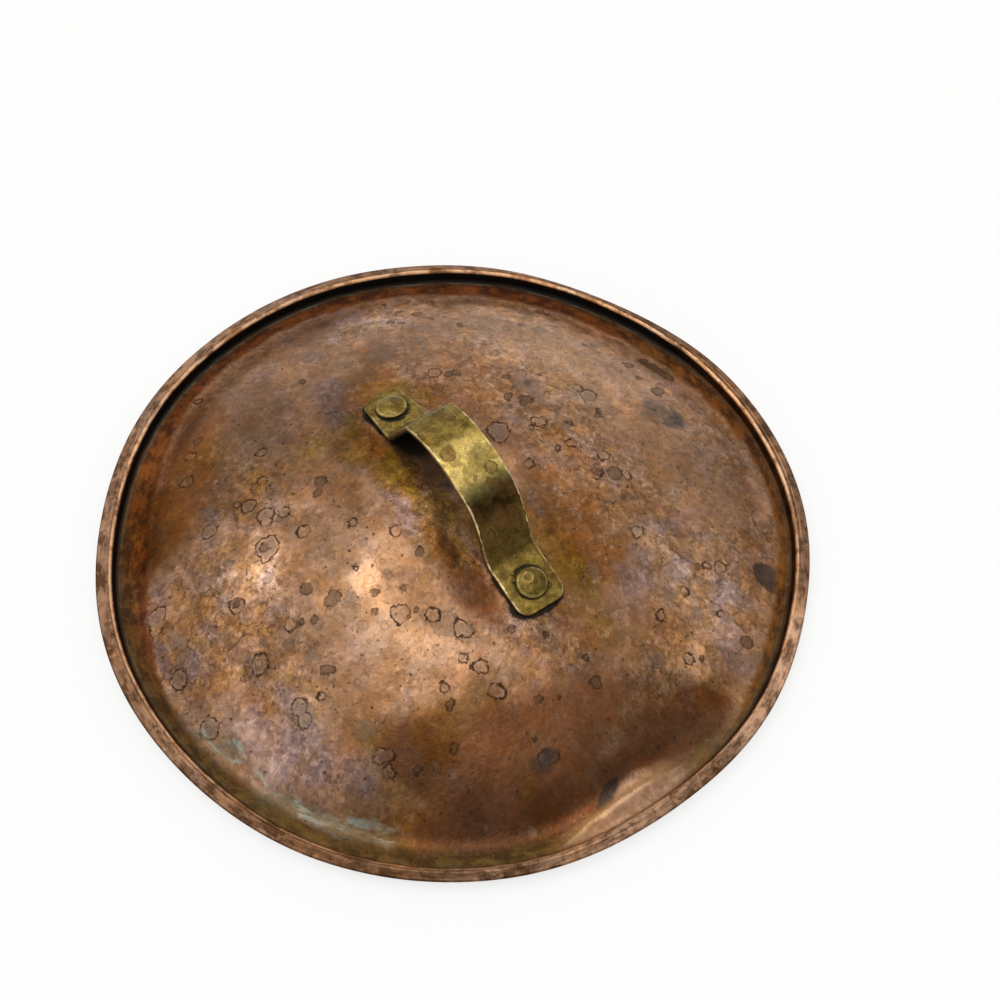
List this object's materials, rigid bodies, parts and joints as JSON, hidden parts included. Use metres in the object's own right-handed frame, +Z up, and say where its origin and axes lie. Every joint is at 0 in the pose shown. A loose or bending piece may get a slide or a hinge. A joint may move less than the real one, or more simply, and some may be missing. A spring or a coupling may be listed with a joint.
{
  "type": "pan lid",
  "caption": "Domed round copper pan lid with a ring channel, an outward-sloping rim and a riveted brass strap handle.",
  "frame": {"origin": "centre of the lid, on the plane that the ring channel's underside rests on", "axes": "+Z up through the middle of the dome, +X along the strap handle towards the pad with the longer root"},
  "size_m": [0.2406, 0.2406, 0.0603],
  "materials": {
    "aged_copper": "aged copper, satin, spotted",
    "strap_brass": "aged brass, worn bright on the bridge",
    "rivet_brass": "aged brass, dull"
  },
  "bodies": {
    "root": {"lid_sheet": "aged_copper", "strap_handle": "strap_brass", "rivet_far": "rivet_brass", "rivet_near": "rivet_brass"}
  },
  "joints": []
}
